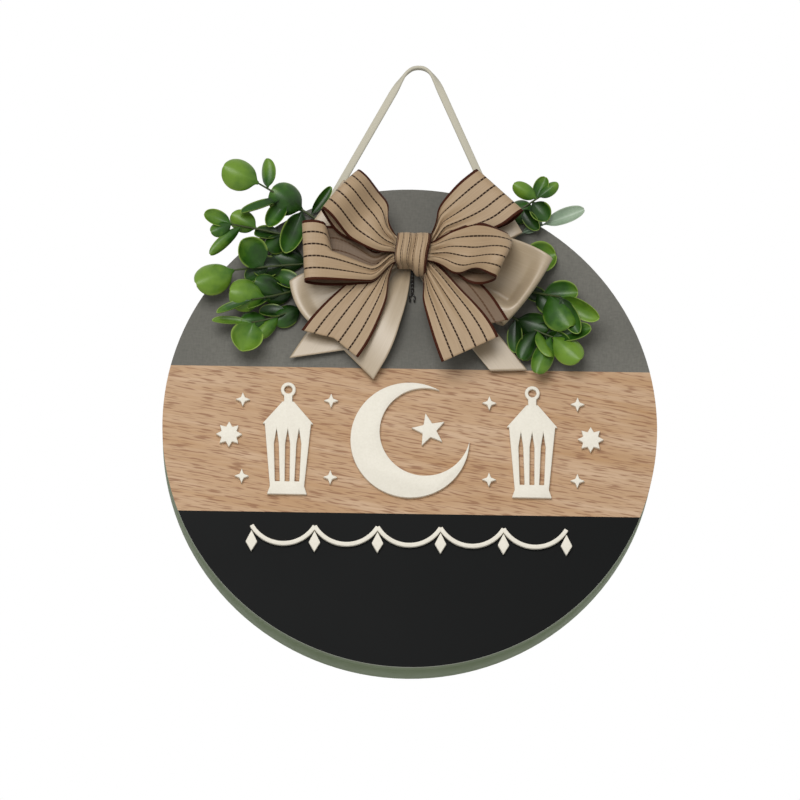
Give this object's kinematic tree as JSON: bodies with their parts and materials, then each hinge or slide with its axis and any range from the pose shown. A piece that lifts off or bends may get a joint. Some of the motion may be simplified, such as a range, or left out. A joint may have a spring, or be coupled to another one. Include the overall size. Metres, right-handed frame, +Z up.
{
  "type": "hanging door sign",
  "caption": "Round hanging door sign with a banded face, raised crescent and lantern cut-outs, a layered ribbon bow, moulded greenery and a hanging cord it swings on.",
  "frame": {"origin": "the underside of the hanging cord at the top of its arch, where it lies on the hook", "axes": "+Z up, +X to the viewer's right, the decorated face looks along -Y and the flat back along +Y"},
  "size_m": [0.3, 0.0737, 0.3866],
  "materials": {
    "sage_paint": "satin sage paint on a wooden board and ring",
    "grey_panel": "matte charcoal grey with a fine linen-like texture",
    "oak_panel": "matte light oak with short dark grain dashes",
    "black_panel": "satin black paint",
    "white_cutout": "matte off-white",
    "ivory_cord": "woven ivory cord",
    "striped_ribbon": "taupe grosgrain with dark pinstripes and burgundy edges",
    "satin_ribbon": "champagne satin",
    "tie_wire": "dark coated tie wire",
    "hot_glue": "clear set glue",
    "leaf_plastic": "glossy moulded green leaves",
    "pale_leaf_plastic": "pale translucent moulded leaf"
  },
  "bodies": {
    "cord": {"hanging_cord": "ivory_cord"},
    "sign": {"front_board": "sage_paint", "rim_ring": "sage_paint", "grey_face_panel": "grey_panel", "oak_face_panel": "oak_panel", "black_face_panel": "black_panel", "crescent_cutout": "white_cutout", "star_cutouts": "white_cutout", "lantern_cutout_left": "white_cutout", "lantern_cutout_right": "white_cutout", "festoon_cutout": "white_cutout", "drop_cutouts": "white_cutout", "cord_knot_left": "ivory_cord", "cord_knot_right": "ivory_cord", "striped_loop_upper_left": "striped_ribbon", "striped_loop_lower_left": "striped_ribbon", "striped_loop_upper_right": "striped_ribbon", "striped_loop_lower_right": "striped_ribbon", "striped_tail_left": "striped_ribbon", "striped_tail_right": "striped_ribbon", "striped_tail_under": "striped_ribbon", "satin_loop_upper_left": "satin_ribbon", "satin_loop_lower_left": "satin_ribbon", "satin_loop_upper_right": "satin_ribbon", "satin_loop_lower_right": "satin_ribbon", "satin_tail_left": "satin_ribbon", "satin_tail_right": "satin_ribbon", "ribbon_core": "striped_ribbon", "twist_tie": "tie_wire", "bow_knot": "striped_ribbon", "glue_pads": "hot_glue", "left_sprig_top": "leaf_plastic", "left_sprig_upper": "leaf_plastic", "left_sprig_middle": "leaf_plastic", "left_sprig_lower": "leaf_plastic", "left_sprig_bottom": "leaf_plastic", "right_sprig_top": "leaf_plastic", "right_sprig_pale": "pale_leaf_plastic", "right_sprig_middle": "leaf_plastic", "right_sprig_lower": "leaf_plastic", "right_sprig_bottom": "leaf_plastic"}
  },
  "joints": [
    {"name": "sign_swing", "type": "hinge", "parent": "cord", "child": "sign", "pos_m": [-0.004, 0, -0.09], "axis": [-1, 0, 0], "range_deg": [0, 60]}
  ]
}
